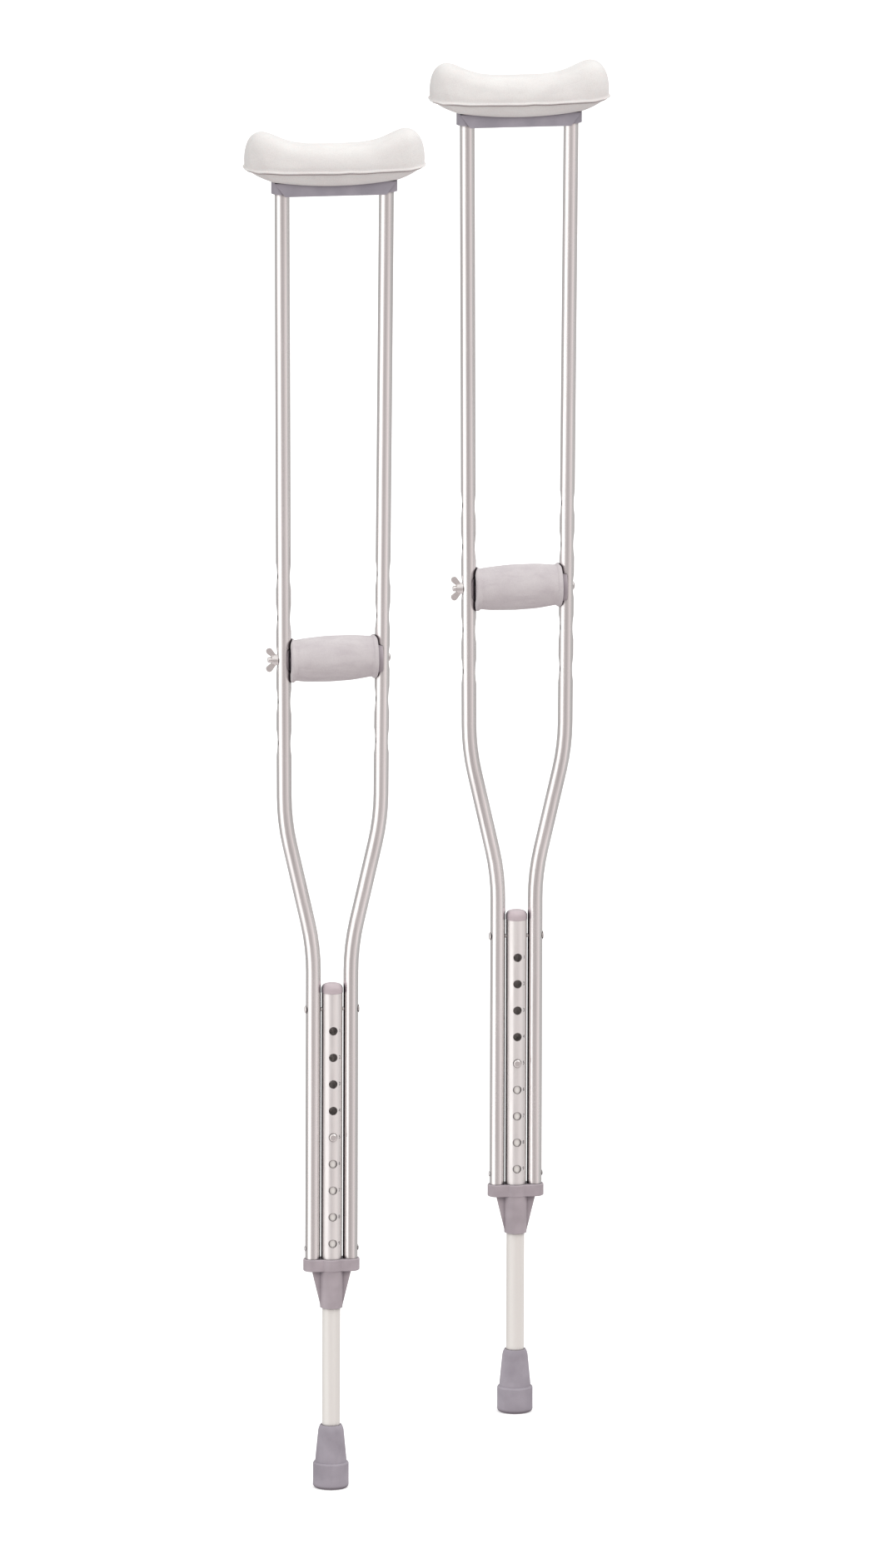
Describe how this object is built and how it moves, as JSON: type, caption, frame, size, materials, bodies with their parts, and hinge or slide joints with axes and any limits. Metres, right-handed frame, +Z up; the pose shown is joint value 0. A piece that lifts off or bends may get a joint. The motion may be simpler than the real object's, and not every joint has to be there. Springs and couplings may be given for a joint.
{
  "type": "underarm crutches",
  "caption": "Height-adjustable aluminium underarm crutches: twin uprights bent in to a telescoping leg, padded saddle top, bolted foam handgrip, rubber ferrule.",
  "frame": {"origin": "on the floor, midway between the two crutches", "axes": "+Z up, +X along both handgrips towards the bolt heads, -Y towards the side with the button holes"},
  "size_m": [0.434, 0.381, 1.466],
  "materials": {
    "pad_foam": "soft matt foam skin",
    "grip_foam": "soft matt foam",
    "tip_rubber": "matt moulded rubber",
    "grey_plastic": "satin moulded plastic",
    "aluminium_tube": "bright anodised",
    "leg_tube": "pale satin anodised",
    "aluminium_rivet": "satin",
    "steel": "zinc plated",
    "spring_steel": "plain spring steel"
  },
  "bodies": {
    "front_leg": {"front_leg_tube": "leg_tube", "front_tip": "tip_rubber", "front_tip_washer": "steel", "front_snap_spring": "spring_steel"},
    "front_button": {"front_snap_button": "steel"},
    "front_frame": {"front_left_upright": "aluminium_tube", "front_right_upright": "aluminium_tube", "front_centre_tube": "aluminium_tube", "front_tube_cap": "grey_plastic", "front_frame_bolt": "steel", "front_frame_nut": "steel", "front_collar": "grey_plastic", "front_collar_rivets": "aluminium_rivet", "front_cradle": "grey_plastic", "front_cradle_rivets": "steel", "front_pad": "pad_foam"},
    "front_handgrip": {"front_grip_core": "grey_plastic", "front_grip_foam": "grip_foam"},
    "front_grip_bolt_body": {"front_grip_bolt": "steel"},
    "front_wing_nut_body": {"front_wing_nut": "steel"},
    "rear_leg": {"rear_leg_tube": "leg_tube", "rear_tip": "tip_rubber", "rear_tip_washer": "steel", "rear_snap_spring": "spring_steel"},
    "rear_button": {"rear_snap_button": "steel"},
    "rear_frame": {"rear_left_upright": "aluminium_tube", "rear_right_upright": "aluminium_tube", "rear_centre_tube": "aluminium_tube", "rear_tube_cap": "grey_plastic", "rear_frame_bolt": "steel", "rear_frame_nut": "steel", "rear_collar": "grey_plastic", "rear_collar_rivets": "aluminium_rivet", "rear_cradle": "grey_plastic", "rear_cradle_rivets": "steel", "rear_pad": "pad_foam"},
    "rear_handgrip": {"rear_grip_core": "grey_plastic", "rear_grip_foam": "grip_foam"},
    "rear_grip_bolt_body": {"rear_grip_bolt": "steel"},
    "rear_wing_nut_body": {"rear_wing_nut": "steel"}
  },
  "joints": [
    {"name": "front_leg_length", "type": "slide", "parent": "front_leg", "child": "front_frame", "axis": [0, 0, 1], "range_m": [-0.1152, 0.1152], "deforming": ["front_snap_spring", "front_snap_button"]},
    {"name": "front_button_press", "type": "slide", "parent": "front_leg", "child": "front_button", "axis": [0, 1, 0], "range_m": [0, 0.0045], "stiffness_N_per_m": 800, "springref_m": -0.004, "deforming": ["front_snap_spring"]},
    {"name": "front_handgrip_height", "type": "slide", "parent": "front_frame", "child": "front_handgrip", "axis": [0, 0, 1], "range_m": [-0.09, 0.09], "deforming": ["front_grip_bolt", "front_wing_nut"]},
    {"name": "front_bolt_withdraw", "type": "slide", "parent": "front_handgrip", "child": "front_grip_bolt_body", "axis": [1, 0, 0], "range_m": [0, 0.14]},
    {"name": "front_wing_nut_spin", "type": "hinge", "parent": "front_handgrip", "child": "front_wing_nut_body", "pos_m": [-0.1815, -0.1645, 0.8975], "axis": [1, 0, 0], "continuous": true},
    {"name": "rear_leg_length", "type": "slide", "parent": "rear_leg", "child": "rear_frame", "axis": [0, 0, 1], "range_m": [-0.1152, 0.1152], "deforming": ["rear_snap_spring", "rear_snap_button"]},
    {"name": "rear_button_press", "type": "slide", "parent": "rear_leg", "child": "rear_button", "axis": [0, 1, 0], "range_m": [0, 0.0045], "stiffness_N_per_m": 800, "springref_m": -0.004, "deforming": ["rear_snap_spring"]},
    {"name": "rear_handgrip_height", "type": "slide", "parent": "rear_frame", "child": "rear_handgrip", "axis": [0, 0, 1], "range_m": [-0.09, 0.09], "deforming": ["rear_grip_bolt", "rear_wing_nut"]},
    {"name": "rear_bolt_withdraw", "type": "slide", "parent": "rear_handgrip", "child": "rear_grip_bolt_body", "axis": [1, 0, 0], "range_m": [0, 0.14]},
    {"name": "rear_wing_nut_spin", "type": "hinge", "parent": "rear_handgrip", "child": "rear_wing_nut_body", "pos_m": [0.0615, 0.1645, 0.8975], "axis": [1, 0, 0], "continuous": true},
    {"name": "rear_crutch_carry", "type": "slide", "parent": "front_leg", "child": "rear_leg", "axis": [1, 0, 0], "range_m": [0, 0.3]}
  ]
}
